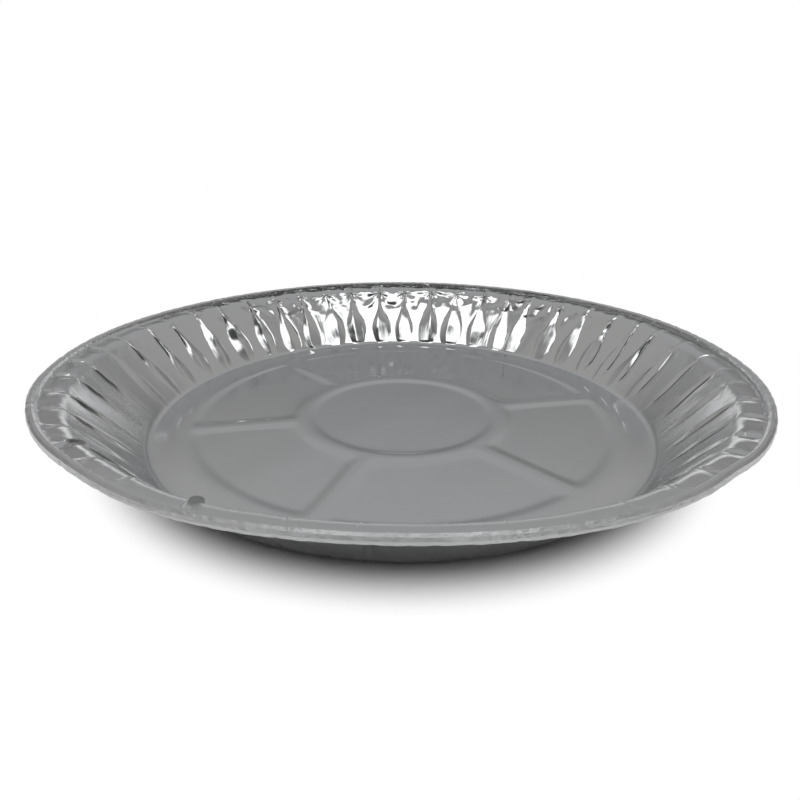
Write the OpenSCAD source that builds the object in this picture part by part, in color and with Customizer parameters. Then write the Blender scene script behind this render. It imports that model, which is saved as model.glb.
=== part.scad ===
// Foil pie tin, pressed from one round sheet of foil: a base stiffened by an embossed ring
// and spokes, a sloping wall gathered into folds, a flange and a rolled bead.
// The origin is the middle of the underside, on the plane that the tin stands on. +Z is up.
// Angles are in degrees, counted from +X towards +Y.

/* [Foil] */
// Thickness of the foil
foil_t = 0.1; // [0.06:0.01:0.2]

/* [Rim] */
// Diameter over the bead
rim_d = 222; // [216:1:236]
// Height over the bead, where the rim is level
tin_h = 24.5; // [24:0.5:32]
// Diameter of the bead's round section
bead_d = 2.6; // [2:0.1:3.2]
// How far round the foil is rolled in the bead
bead_turn = 315; // [270:5:330]
// Direction on the bead's section from which the flange comes in
bead_start = 200; // [190:5:220]

/* [Wall] */
// Inside diameter at the top of the sloping wall
wall_d = 206; // [194:1:210]
// Height of the top of the sloping wall
wall_h = 22.2; // [18:0.2:23]
// Inside diameter at the foot of the wall
foot_d = 168; // [164:1:176]
// Rounding between the base and the wall
foot_round = 2.5; // [1:0.1:5]
// Rounding between the wall and the flange
knee_round = 1.6; // [0.6:0.1:3]

/* [Folds] */
// Number of folds round the wall
fold_n = 49; // [36:1:56]
// Direction of the first fold
fold_turn = 8.7; // [0:0.1:12]
// Height of a fold where it stands proudest of the wall
fold_h = 1.6; // [0.4:0.1:1.8]
// Width of a fold at its belly, near the foot of the wall
fold_w = 7.6; // [3:0.1:9]
// Width of a fold where it is pinched at the top of the wall
pinch_w = 1.5; // [0.8:0.1:3]
// Height of a fold where it is pressed down on the flange
flange_fold_h = 0.45; // [0.1:0.05:0.8]
// How much the folds differ in size, as a share
fold_spread = 0.22; // [0:0.02:0.3]
// How far a fold may sit from its even place
fold_drift = 0.35; // [0:0.05:0.6]

/* [Base] */
// Height of the embossed ribs over the panels
rib_h = 0.4; // [0.3:0.1:1.5]
// Width of a rib at its foot
rib_w = 8.4; // [6:0.2:10]
// Width of the flat top of a rib
rib_top_w = 2; // [1:0.1:3]
// Diameter of the embossed ring along its middle
ring_d = 68.4; // [60:0.4:80]
// Number of spokes
spoke_n = 6; // [4:1:8]
// Direction of the first spoke
spoke_turn = 12; // [0:1:20]
// Diameter over the panels between the spokes
panel_d = 138; // [130:1:142]
// How far the corners of the panels are cut back
panel_cut = 1.6; // [0.4:0.1:3]
// Height of the panels over the foot ring
panel_lift = 0.3; // [0:0.05:0.8]
// Inside diameter of the flat foot ring that the tin stands on
foot_ring_d = 163; // [158:0.5:163]

/* [Wear] */
// How far the front of the rim is bent up
front_lift = 2; // [0:0.1:2.5]
// How far the back left of the rim is bent down
left_drop = 0.6; // [0:0.05:1]
// How far the right of the rim is bent down
right_drop = 0.4; // [0:0.05:1]
// Depth of the dent in the rim at the front right
dent = 0.8; // [0:0.1:1.2]
// How far the left of the rim is pressed out
bulge = 0.8; // [0:0.1:1.2]

/* [Hidden] */

// Points round a plain ring, panel points between two spokes, and steps round the bead
disc_points = 48;
panel_points = 6;
ledge_points = 60;
rim_points = 2 * fold_n;
bead_steps = 7;

// Folds that sit off their even place, as [number counted from the first, degrees]
crooked = [[0, 0.4], [1, 1.7], [6, 1.7], [14, -0.6], [15, -0.9], [16, -0.8], [17, -0.6]];
// Slow bends of the rim, as [direction, rise, half width in degrees]
bends = [
    [268, front_lift, 26], [230, 0.55 * front_lift, 10], [306, 0.3 * front_lift, 12],
    [142, -left_drop, 34], [0, -right_drop, 16]
];
// Dents and bulges of the rim, as [direction, depth, half width in degrees]
pushes = [[310, dent, 5], [230, 0.4 * dent, 9], [200, -bulge, 11]];

rim_r = rim_d / 2;
bead_r = bead_d / 2;
wall_r = wall_d / 2;
foot_r = foot_d / 2;
ring_r = ring_d / 2;
panel_r = panel_d / 2;
foot_ring_r = foot_ring_d / 2;
rib_slope_w = (rib_w - rib_top_w) / 2;
panel_z = foil_t + panel_lift;
rib_z = panel_z + rib_h;
ledge_r = panel_r + rib_slope_w;

// Section of the wall, flange and bead, on the face that shows from above
bead_mid = [rim_r - bead_r, tin_h - bead_r];
function on_bead(turn) = bead_mid + bead_r * [cos(turn), sin(turn)];
foot_at = [foot_r, foil_t];
knee_at = [wall_r, wall_h];
flange_end = on_bead(bead_start);

function unit(v) = v / norm(v);
function turned_left(v) = [-v[1], v[0]];
function angle_between(v, w) = acos(unit(v) * unit(w));

// First and last point of a rounded corner at b, between the lines to a and c
function corner(a, b, c, radius) =
    let (reach = radius * tan(angle_between(b - a, c - b) / 2))
    [b + reach * unit(a - b), b + reach * unit(c - b)];

foot_corner = corner([0, foil_t], foot_at, knee_at, foot_round);
knee_corner = corner(foot_at, knee_at, flange_end, knee_round);
wall_foot = foot_corner[1];
wall_top = knee_corner[0];
knee_end = knee_corner[1];

// Shares of the wall's height, measured down from its top, at which the folds are drawn
wall_steps = [1, 0.82, 0.52, 0.22, 0];

section = concat(
    [foot_corner[0]],
    [for (down = wall_steps) wall_top + down * (wall_foot - wall_top)],
    [knee_end],
    [for (i = [0 : bead_steps]) on_bead(bead_start - i * bead_turn / bead_steps)]
);
knee_row = len(wall_steps) + 1;

// Direction square to the section at a row, stretched so that the foil keeps its thickness
function out_of_section(i) =
    let (
        last = len(section) - 1,
        before = max(i, 1),
        after = min(i, last - 1),
        n0 = unit(turned_left(section[before] - section[before - 1])),
        n1 = unit(turned_left(section[after + 1] - section[after])),
        n = unit(n0 + n1)
    )
    n / (n * n0);

// Even but unlike values between -1 and 1, one for each fold
function unlike(k, kind) = sin(k * 137.5 + kind * 71) * cos(k * 59 + kind * 23);

function sum(v) = len(v) == 0 ? 0 : v * [for (i = v) 1];

// Direction of a fold, for numbers from -1 to fold_n, and its room to the nearer neighbour
function fold_place(k) =
    let (own = (k + fold_n) % fold_n)
    fold_turn + k * 360 / fold_n
    + fold_drift * unlike(own, 1)
    + sum([for (c = crooked) if (c[0] == own) c[1]]);
function fold_room(k) = min(fold_place(k + 1) - fold_place(k), fold_place(k) - fold_place(k - 1)) / 2;
function fold_scale(k, kind) = 1 + fold_spread * unlike(k, kind);

// A fold is pinched at the top of the wall, widest low down, and runs out at the foot
function fold_half(down) = (pinch_w + (fold_w - pinch_w) * pow(sin(115 * down), 1.3)) / 2;
function fold_rise(down) = fold_h * (0.85 + 0.15 * sin(180 * down)) * pow(1 - pow(down, 4), 0.7);
function flank(across) = pow(1 - abs(across), 1.2);

// Half width and height of the folds at a row of the section
function fold_at(i) =
    i == knee_row ? [pinch_w * 0.8, flange_fold_h]
    : let (down = wall_steps[i - 1]) [fold_half(down), fold_rise(down)];

// A point of the foil: its direction, then radius and height on the upper and on the lower face
function foil_point(turn, i, proud) =
    let (
        n = out_of_section(i),
        upper = section[i] + proud * unit(n),
        lower = upper - foil_t * n
    )
    [turn, upper[0], upper[1], lower[0], lower[1]];

function flat_point(turn, r, z) = [turn, r, z, r, z - foil_t];

function plain_ring(r, z, count, first) = [for (i = [0 : count - 1]) flat_point(first + i * 360 / count, r, z)];

// A ring across the spokes. edges lists [distance from a spoke's middle, height]
function spoke_ring(r, edges, floor_z) =
    let (
        pitch = 360 / spoke_n,
        outer = asin(edges[0][0] / r),
        gap = (pitch - 2 * outer) / (panel_points + 1)
    )
    [for (s = [0 : spoke_n - 1]) let (middle = spoke_turn + s * pitch)
        each concat(
            [for (e = edges) flat_point(middle - asin(e[0] / r), r, e[1])],
            [for (i = [len(edges) - 1 : -1 : 0]) let (e = edges[i]) flat_point(middle + asin(e[0] / r), r, e[1])],
            [for (i = [1 : panel_points]) flat_point(middle + outer + i * gap, r, floor_z)]
        )];

function fold_ring(i) =
    let (size = fold_at(i), degree = 180 / PI / section[i][0])
    [for (k = [0 : fold_n - 1], x = [-1 : 0.5 : 1])
        let (half = min(size[0] * fold_scale(k, 2) * degree, 0.94 * fold_room(k)))
        foil_point(fold_place(k) + x * half, i, size[1] * fold_scale(k, 3) * flank(x))];

function rim_ring(i) = [for (j = [0 : rim_points - 1]) foil_point(fold_turn + (j - 0.5) * 360 / rim_points, i, 0)];

crest = [rib_top_w / 2, rib_z];
toe = [rib_w / 2, panel_z];
cut_toe = [rib_w / 2 + panel_cut, panel_z];
first_turn = spoke_turn - asin(rib_w / 2 / ring_r);

rings = concat(
    [
        plain_ring(ring_r - rib_w / 2, panel_z, disc_points, first_turn),
        plain_ring(ring_r - rib_top_w / 2, rib_z, disc_points, first_turn),
        spoke_ring(ring_r + rib_top_w / 2, [crest], rib_z),
        spoke_ring(ring_r + rib_w / 2, [cut_toe, crest], panel_z),
        spoke_ring(ring_r + rib_w / 2 + panel_cut, [toe, crest], panel_z),
        spoke_ring(panel_r - panel_cut, [toe, crest], panel_z),
        spoke_ring(panel_r, [cut_toe, crest], panel_z),
        spoke_ring(ledge_r, [crest], rib_z),
        plain_ring(ledge_r + rib_top_w, rib_z, ledge_points, first_turn),
        plain_ring(foot_ring_r, foil_t, ledge_points, first_turn)
    ],
    [rim_ring(0)],
    [for (i = [1 : knee_row]) fold_ring(i)],
    [for (i = [knee_row + 1 : len(section) - 1]) rim_ring(i)]
);

// Unevenness of the rim, which dies away towards the foot
function apart(a, b) = (a - b + 900) % 360 - 180;
function bump(turn, middle, half) = exp(-pow(apart(turn, middle) / half, 2));
function placed(turn, r, z) =
    let (
        share = pow(max(0, z) / tin_h, 1.5),
        rise = sum([for (b = bends) b[1] * bump(turn, b[0], b[2])]),
        push = sum([for (p = pushes) p[1] * bump(turn, p[0], p[2])])
    )
    [(r - share * push) * cos(turn), (r - share * push) * sin(turn), z + share * rise];

// Triangles between two rings. Rings of one length meet point to point, and others by direction
function band(a, b, a0, b0) =
    let (na = len(a), nb = len(b))
    na == nb
    ? [for (i = [0 : na - 1]) let (j = (i + 1) % na)
        each [[a0 + i, b0 + i, a0 + j], [a0 + j, b0 + i, b0 + j]]]
    : let (
        a_ends = [for (i = [1 : na]) i < na ? a[i][0] : a[0][0] + 360],
        b_ends = [for (i = [1 : nb]) i < nb ? b[i][0] : b[0][0] + 360]
    )
    concat(
        [for (i = [0 : na - 1]) let (j = len([for (e = b_ends) if (e < a_ends[i]) 1]))
            [a0 + i, b0 + j % nb, a0 + (i + 1) % na]],
        [for (j = [0 : nb - 1]) let (i = len([for (e = a_ends) if (e <= b_ends[j]) 1]))
            [b0 + j, b0 + (j + 1) % nb, a0 + i % na]]
    );

ring_n = len(rings);
starts = [for (i = 0, at = 0; i < ring_n; at = at + len(rings[i]), i = i + 1) at];
point_n = starts[ring_n - 1] + len(rings[ring_n - 1]);
function flipped(faces) = [for (f = faces) [f[0], f[2], f[1]]];
function shifted(faces, by) = [for (f = faces) [for (v = f) v + by]];

module pie_tin() {
    upper = [for (ring = rings) each [for (p = ring) placed(p[0], p[1], p[2])]];
    lower = [for (ring = rings) each [for (p = ring) placed(p[0], p[3], p[4])]];
    skin = [for (i = [0 : ring_n - 2]) each band(rings[i], rings[i + 1], starts[i], starts[i + 1])];
    disc = [for (i = [1 : disc_points - 2]) [0, i, i + 1]];
    sheet = concat(disc, skin);
    last = starts[ring_n - 1];
    edge = [for (i = [0 : rim_points - 1]) let (j = (i + 1) % rim_points)
        each [
            [last + i, point_n + last + i, last + j],
            [last + j, point_n + last + i, point_n + last + j]
        ]];
    color([0.64, 0.65, 0.66])
        polyhedron(concat(upper, lower), concat(flipped(concat(sheet, edge)), shifted(sheet, point_n)));
}

pie_tin();
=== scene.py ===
"""Foil pie tin: a flat round of foil is made, pressed into the dish, and stood on a pale studio floor."""
import math
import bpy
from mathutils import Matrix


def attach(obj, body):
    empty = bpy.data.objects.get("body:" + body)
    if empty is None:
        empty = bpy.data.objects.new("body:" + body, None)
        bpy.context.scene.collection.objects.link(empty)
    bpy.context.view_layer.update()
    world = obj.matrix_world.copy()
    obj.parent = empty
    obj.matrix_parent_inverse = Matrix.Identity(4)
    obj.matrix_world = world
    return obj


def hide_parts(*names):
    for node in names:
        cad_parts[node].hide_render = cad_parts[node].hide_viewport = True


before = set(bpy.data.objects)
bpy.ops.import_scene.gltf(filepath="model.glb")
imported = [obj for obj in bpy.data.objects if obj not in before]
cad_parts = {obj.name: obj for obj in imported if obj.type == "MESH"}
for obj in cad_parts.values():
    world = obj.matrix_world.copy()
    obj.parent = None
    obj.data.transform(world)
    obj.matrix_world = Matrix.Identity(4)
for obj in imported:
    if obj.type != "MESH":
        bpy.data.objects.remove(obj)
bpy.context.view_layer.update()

from types import SimpleNamespace

import bpy
import numpy as np
from mathutils import Matrix, Vector

bl_info = {
    "name": "Foil Pie Tin",
    "version": (1, 0, 0),
    "blender": (4, 5, 0),
    "location": "3D View > Sidebar > Pie Tin",
    "description": "Presses a round of foil into a pie tin with gathered walls, and lights it",
    "category": "Object",
}

NODE = "pie_tin"
MM = 0.001

# Section of the tin, on the face that shows from above, in millimetres
FOOT_FLAT = 82.3
FOOT_R = 84.0
KNEE = (103.0, 22.2)
FOOT_ROUND = 2.5
KNEE_ROUND = 4.5

# The bead's roll, in degrees
BEAD_START = 212.0
BEAD_TURN = 315.0

# Rows of points along the section
FOOT_STEPS = 4
WALL_ROWS = 21
KNEE_STEPS = 6
FLANGE_ROWS = 4
BEAD_ROWS = 9

# Embossing of the base, in millimetres, and the spokes' direction in degrees
RING_R = 34.2
LEDGE_R = 73.2
SLOPE_FOOT_R = 81.5
SPOKES = 6
SPOKE_TURN = 12.0
SPOKE_START_R = 33.0
PANEL_LIFT = 0.3
CREST_HALF = 1.0
CREST_BLEND = 1.3
SLOPE_W = 3.2

# Columns beside each spoke, as distances from its middle, and columns in the panel between two spokes
SPOKE_COLUMNS = (0, 0.55, 1.0, 1.5, 2.3, 3.2, 4.2, 5.2, 6.6)
PANEL_COLUMNS = 19
BASE_RINGS = (
    2, 8, 15, 22, 27, 29.4, 30.2, 31.0, 31.8, 32.6, 33.4, 34.2, 35.0, 35.8, 36.6, 37.4, 38.2, 39.2,
    43, 50, 57, 63, 67.6, 68.8, 69.7, 70.6, 71.4, 72.2, 73.2, 74.2, 75.4, 77, 78.7, 80.4, 81.7,
)

# Columns on one side of a fold: shares of its half width, then shares of the gap to the middle of the panel
FLANK_SHARES = (0.0, 0.12, 0.42, 0.74, 0.93, 1.0)
CREST_SOFT = 0.1
GAP_TOP = (0.09, 0.25, 0.52, 1.0)
GAP_LOW = (0.12, 0.34, 0.64, 1.0)
FLANK_TOE = len(FLANK_SHARES) - 1
SIDE_COLUMNS = FLANK_TOE + len(GAP_TOP)

# Folds that sit off their even place: number counted from the first, and degrees
CROOKED = {0: 0.4, 1: 1.7, 6: 1.7, 14: -0.6, 15: -0.9, 16: -0.8, 17: -0.6, 32: 3.4}

# Folds at the front left that still stand up on the flange
PROUD = (29, 32)

# Directions round the tin, in degrees, and stretches of it as a middle and a half width
BACK = 90
FRONT = 270
BACK_STRETCH = (BACK, 62)
FRONT_STRETCH = (FRONT, 58)
BACK_LEFT_STRETCH = (141, 22)
LEFT_STRETCH = (186, 20)
RIGHT_STRETCH = (324, 20)

# Bends of the rim: middle, half width, and a share of the front's lift or of the dent
RIM_LIFTS = ((268, 26, 1.0), (230, 10, 0.55), (306, 12, 0.3))
RIM_DENTS = ((310, 5, 1.0), (230, 9, 0.4), (200, 11, -1.0))

# Where the rim droops: middle, half width, and millimetres
RIM_DROOPS = ((142, 34, 0.6), (0, 16, 0.4))

# Wrinkles that fan out from a pinch: degrees from straight down, height and reach in millimetres
CROWS_FEET = ((24, 0.16, 5.5), (47, -0.12, 4.5), (70, 0.12, 3.6), (108, 0.10, 3.2))

# Slow waves of the sheet: millimetres, waves round the tin, turn for each millimetre up, and start
SHEET_WAVES = (
    (0.035, 31, 0.21, 1.3), (0.030, 47, -0.33, 4.1), (0.022, 76, 0.47, 2.2), (0.020, 23, 0.62, 0.4),
)

# Ripples of the crimped edge: millimetres, ripples round the tin, start, and turn from row to row
EDGE_RIPPLES = ((0.024, 83, 1, 0), (0.022, 131, 2.4, 0), (0.016, 199, 0.7, 0), (0.014, 241, 0, 0.8))

# Floor and backdrop, in metres
FLOOR_R = 7.0
FLOOR_GAP = 0.00005
COVE_BEND = 0.5
COVE_TOP = 1.545
COVE_STEPS = 8
COVE_HALF_ARC = math.radians(35)

# Overhead fill, in metres
FILL_SIDE = 2.4
FILL_HEIGHT = 2.0

# Colours of the surroundings ahead of and beside the tin, sRGB hex
AHEAD = "FDFEFF"
BESIDE = "FFFDF9"

# The photograph's camera: frame, focal length and shift in pixels, then its place in metres
FRAME_PX = 800
FOCAL_PX = 612.3
SHIFT_PX = -1.1
CAMERA_AT = (-0.00034, -0.1979, 0.0872)
CAMERA_ROLL = math.radians(0.48)

SMOOTH = {"interpolation_type": "SMOOTHSTEP"}


def linear_colour(code):
    """sRGB hex to the linear RGBA that a shader reads."""
    parts = [int(code[i:i + 2], 16) / 255 for i in (0, 2, 4)]
    return [c / 12.92 if c <= 0.04045 else ((c + 0.055) / 1.055) ** 2.4 for c in parts] + [1.0]


def add_node(tree, kind, settings=None, inputs=None):
    """Adds one node. settings are its properties; an input is a value or the socket that feeds it."""
    made = tree.nodes.new(kind)
    for name, value in (settings or {}).items():
        setattr(made, name, value)
    for name, value in (inputs or {}).items():
        if isinstance(value, bpy.types.NodeSocket):
            tree.links.new(value, made.inputs[name])
        else:
            made.inputs[name].default_value = value
    return made


def per_metre(size):
    """How often a pattern of this size, in millimetres, comes in a metre."""
    return 1000 / size


def wave(x):
    """Smooth step from 0 at 0 to 1 at 1."""
    t = np.clip(x, 0, 1)
    return t * t * (3 - 2 * t)


def unlike(k, kind):
    """Even but unlike values between -1 and 1, one for each fold, as the solid has them."""
    k = np.asarray(k, float)
    return np.sin(np.radians(k * 137.5 + kind * 71)) * np.cos(np.radians(k * 59 + kind * 23))


def apart(turn, middle):
    """Degrees from one direction to another, the short way round."""
    return (turn - middle + 180) % 360 - 180


def bump_at(turn, middle, half):
    """Soft bump, 1 high, round one direction."""
    return np.exp(-((apart(turn, middle) / half) ** 2))


def bumps(turn, bends):
    """Sum of soft bumps, each by its middle, half width and height."""
    return sum(height * bump_at(turn, middle, half) for middle, half, height in bends)


class TinSizes(bpy.types.PropertyGroup):
    """Sizes of the sheet and of the dish that is pressed from it"""
    foil: bpy.props.FloatProperty(
        name="Foil", description="Thickness of the foil", default=0.0001, unit="LENGTH", precision=5)
    rim: bpy.props.FloatProperty(
        name="Rim", description="Diameter over the rolled bead", default=0.2215, unit="LENGTH", precision=4)
    height: bpy.props.FloatProperty(
        name="Height", description="Height over the bead where the rim is level",
        default=0.02432, unit="LENGTH", precision=4)
    bead: bpy.props.FloatProperty(
        name="Bead", description="Diameter of the rolled bead's section",
        default=0.0026, unit="LENGTH", precision=4)
    rib: bpy.props.FloatProperty(
        name="Rib", description="Height of the embossed ribs over the panels",
        default=0.00036, unit="LENGTH", precision=5)
    front_lift: bpy.props.FloatProperty(
        name="Front lift", description="How far the front of the rim is bent up",
        default=0.00195, unit="LENGTH", precision=4)
    dent: bpy.props.FloatProperty(
        name="Dent", description="Depth of the dent in the rim at the front right",
        default=0.0008, unit="LENGTH", precision=4)


class FoldSizes(bpy.types.PropertyGroup):
    """Sizes of the folds that gather the wall"""
    count: bpy.props.IntProperty(name="Folds", description="Number of folds round the wall", default=49)
    first: bpy.props.FloatProperty(
        name="First fold", description="Direction of the first fold",
        default=math.radians(8.7), subtype="ANGLE")
    height: bpy.props.FloatProperty(
        name="Height", description="Height of a fold where it stands proudest",
        default=0.0017, unit="LENGTH", precision=4)
    belly: bpy.props.FloatProperty(
        name="Belly", description="Width of a fold at its belly, low on the wall",
        default=0.0088, unit="LENGTH", precision=4)
    pinch: bpy.props.FloatProperty(
        name="Pinch", description="Width of a fold where it is pinched at the top of the wall",
        default=0.0015, unit="LENGTH", precision=4)
    on_flange: bpy.props.FloatProperty(
        name="On the flange", description="Height of a fold where it is pressed down on the flange",
        default=0.00045, unit="LENGTH", precision=5)
    spread: bpy.props.FloatProperty(
        name="Spread", description="How much the folds differ in size", default=0.22, subtype="FACTOR")


class FoilFinish(bpy.types.PropertyGroup):
    """Finish of the foil and colours of the studio"""
    foil: bpy.props.StringProperty(name="Foil", description="Colour of the foil, sRGB hex", default="D4D5D6")
    roughness: bpy.props.FloatProperty(
        name="Roughness", description="Roughness of the bright rolled face", default=0.13, subtype="FACTOR")
    floor: bpy.props.StringProperty(
        name="Floor", description="Colour of the floor and backdrop, sRGB hex", default="E8E8E8")


class StudioSizes(bpy.types.PropertyGroup):
    """Softbox, surroundings and camera"""
    box_width: bpy.props.FloatProperty(
        name="Softbox width", description="Width of the softbox", default=1.6, unit="LENGTH")
    box_depth: bpy.props.FloatProperty(
        name="Softbox depth", description="Depth of the softbox, front to back", default=0.58, unit="LENGTH")
    box_height: bpy.props.FloatProperty(
        name="Softbox height", description="Height of the softbox over the floor", default=1.2, unit="LENGTH")
    box_forward: bpy.props.FloatProperty(
        name="Softbox forward", description="How far the softbox's middle hangs in front of the tin",
        default=0.47, unit="LENGTH")
    box_light: bpy.props.FloatProperty(
        name="Softbox brightness", description="Radiance of the softbox", default=1.75)
    fill_light: bpy.props.FloatProperty(
        name="Fill brightness", description="Radiance of the overhead fill, which the foil doesn't mirror",
        default=1.42)
    surround: bpy.props.FloatProperty(
        name="Surroundings", description="Radiance of the grey surroundings", default=0.45)
    camera_turn: bpy.props.FloatProperty(
        name="Camera down", description="How far the camera looks down",
        default=math.radians(22.48), subtype="ANGLE")


def add_round_blank(name, columns, rings, filled):
    """A flat round, or a flat collar, extruded ring by ring from a circle."""
    bpy.ops.object.select_all(action="DESELECT")
    bpy.ops.mesh.primitive_circle_add(
        vertices=columns, radius=rings[0], fill_type="TRIFAN" if filled else "NOTHING", calc_uvs=False)
    blank = bpy.context.object
    blank.name = name
    blank.data.name = name
    bpy.ops.object.mode_set(mode="EDIT")
    bpy.ops.mesh.select_mode(type="EDGE")
    if filled:
        bpy.ops.mesh.select_all(action="DESELECT")
        bpy.ops.mesh.select_non_manifold()
    else:
        bpy.ops.mesh.select_all(action="SELECT")
    for inner, outer in zip(rings, rings[1:]):
        bpy.ops.mesh.extrude_edges_indiv()
        bpy.ops.transform.resize(value=(outer / inner, outer / inner, 1), center_override=(0, 0, 0))
    bpy.ops.object.mode_set(mode="OBJECT")
    return blank


def read_points(mesh):
    """Places of a mesh's points, as rows of X, Y and Z."""
    co = np.zeros(len(mesh.vertices) * 3)
    mesh.vertices.foreach_get("co", co)
    return co.reshape(-1, 3)


def rounded_corner(before, at, after, radius, steps):
    """Rounded corner of a section: its points, and their normals to the left of the way."""
    u = np.subtract(at, before)
    v = np.subtract(after, at)
    u, v = u / np.linalg.norm(u), v / np.linalg.norm(v)
    side = 1 if u[0] * v[1] - u[1] * v[0] > 0 else -1
    angle = math.acos(float(np.clip(u @ v, -1, 1)))
    start = np.array(at) - radius * math.tan(angle / 2) * u
    left = np.array((-u[1], u[0]))
    centre = start + side * radius * left
    out = -side * left
    points, normals = [], []
    for i in range(steps + 1):
        turn = side * angle * i / steps
        c, s = math.cos(turn), math.sin(turn)
        arm = np.array((c * out[0] - s * out[1], s * out[0] + c * out[1]))
        points.append(centre + radius * arm)
        normals.append(-side * arm)
    return points, normals


def wall_section(sizes):
    """Rows from the foot ring to the end of the bead: point, normal, zone and place in the zone."""
    foil = sizes.foil / MM
    bead_r = sizes.bead / 2 / MM
    bead_mid = np.array((sizes.rim / 2 / MM - bead_r, sizes.height / MM - bead_r))

    def on_bead(turn):
        return bead_mid + bead_r * np.array((math.cos(math.radians(turn)), math.sin(math.radians(turn))))

    flange_end = on_bead(BEAD_START)
    foot, foot_normals = rounded_corner((0, foil), (FOOT_R, foil), KNEE, FOOT_ROUND, FOOT_STEPS)
    knee, knee_normals = rounded_corner((FOOT_R, foil), KNEE, flange_end, KNEE_ROUND, KNEE_STEPS)
    rows = [((FOOT_FLAT, foil), (0, 1), "foot", 0.0)]
    rows += [(p, n, "foot", i / FOOT_STEPS) for i, (p, n) in enumerate(zip(foot[:-1], foot_normals))]
    # Rows of the wall lie closer together towards the knee, and one more lies just above the foot
    downs = [(i / WALL_ROWS) ** 1.35 for i in range(WALL_ROWS, 0, -1)]
    downs.insert(1, 0.972)
    rows += [(knee[0] + down * (foot[-1] - knee[0]), foot_normals[-1], "wall", down) for down in downs]
    rows += [(p, n, "knee", i / KNEE_STEPS) for i, (p, n) in enumerate(zip(knee, knee_normals))]
    for i in range(1, FLANGE_ROWS + 1):
        t = (i / FLANGE_ROWS) ** 0.9
        rows.append((knee[-1] + t * (flange_end - knee[-1]), knee_normals[-1], "flange", t))
    for i in range(1, BEAD_ROWS + 1):
        point = on_bead(BEAD_START - BEAD_TURN * i / BEAD_ROWS)
        rows.append((point, (point - bead_mid) / bead_r, "bead", i / BEAD_ROWS))
    return rows


def fold_places(folds):
    """Directions of the folds, in degrees."""
    k = np.arange(folds.count)
    off = np.array([CROOKED.get(i, 0.0) for i in range(folds.count)])
    return math.degrees(folds.first) + k * 360 / folds.count + 0.35 * unlike(k, 1) + off


def fold_habits(folds, places):
    """What makes each fold unlike the others: arrays with one value for each fold."""
    k = np.arange(folds.count)
    own = SimpleNamespace(k=k)
    own.beside = 1 - bump_at(places, *BACK_STRETCH)
    own.turned = bump_at(places, *BACK_LEFT_STRETCH)
    own.forward = np.cos(np.radians(places)) < 0
    own.wide = (1 + folds.spread * unlike(k, 2)) * (1 - 0.68 * own.beside ** 2)
    own.tall = 1 + folds.spread * unlike(k, 3)
    own.opens = 0.14 + 0.09 * unlike(k, 6)
    own.blunt = 0.40 + 0.5 * own.beside + 0.12 * unlike(k, 18)
    own.groove = 0.20 * (1 + 0.4 * unlike(k, 21))
    own.drift = 0.9 * unlike(k, 15)
    lean_way = np.where(unlike(k, 5) > -0.45, 1.0, -0.6)
    own.lean = lean_way * (0.46 + 0.16 * unlike(k, 7)) * (1 - 0.8 * own.turned)
    own.tuck = lean_way * (0.55 + 0.30 * unlike(k, 8))
    # The flange is pressed flattest at the front. At the left and right it steps from fold to fold instead
    stepped = bump_at(places, *LEFT_STRETCH) + bump_at(places, *RIGHT_STRETCH)
    own.step = stepped * np.where(places < FRONT, 0.72, 0.66) * (1 + 0.3 * unlike(k, 22))
    pressed = (1 - 0.8 * bump_at(places, *FRONT_STRETCH)) * (0.8 + 0.5 * unlike(k, 19))
    pressed = pressed * (1 - 0.7 * stepped)
    own.proud = np.isin(k, PROUD)
    own.pressed = np.where(own.proud, 2.4, pressed)
    return own


def leaf_section(down, own, folds):
    """Half width and height of the folds on the wall: leaves that open under the pinch and close low down."""
    fold_h, belly, pinch = folds.height / MM, folds.belly / MM, folds.pinch / MM
    leaf = np.clip((down - own.opens) / (1.10 - 0.11 * own.beside - own.opens), 0, 1) ** 1.36
    swell = np.sin(np.pi * leaf) ** np.where(leaf < 0.5, 1.25, own.blunt)
    half = (pinch + (belly * own.wide - pinch) * swell) / 2
    half *= 1 + 0.06 * np.sin(9 * down + 6 * unlike(own.k, 9))
    # Folds at the back left stand up steeply high on the wall, and lie flatter below
    upper = own.turned * math.exp(-(((down - 0.32) / 0.2) ** 2))
    lower = own.turned * float(wave((down - 0.5) / 0.15))
    half = np.maximum(half + 0.55 * upper, 0.35)
    blunt_end = 1 - 0.5 * float(wave((down - 0.5) / 0.5))
    run_out = (1 - down ** 3) * (1 - 0.75 * float(wave(down / 0.8)))
    closing = blunt_end + own.beside * (run_out - blunt_end)
    rise = own.tall * fold_h * (1 - 0.25 * own.beside) * (0.42 + 0.58 * swell ** 0.8) * closing
    rise = rise * (0.5 + 0.5 * float(wave(down / 0.14)))
    flank = half * (1 - np.abs(own.lean) * wave((down - 0.1) / 0.2))
    rise = rise + upper * (0.92 * flank - rise)
    rise = rise + lower * (0.34 * flank * (1 - 0.6 * float(wave((down - 0.75) / 0.25))) - rise)
    return half, rise


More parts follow.
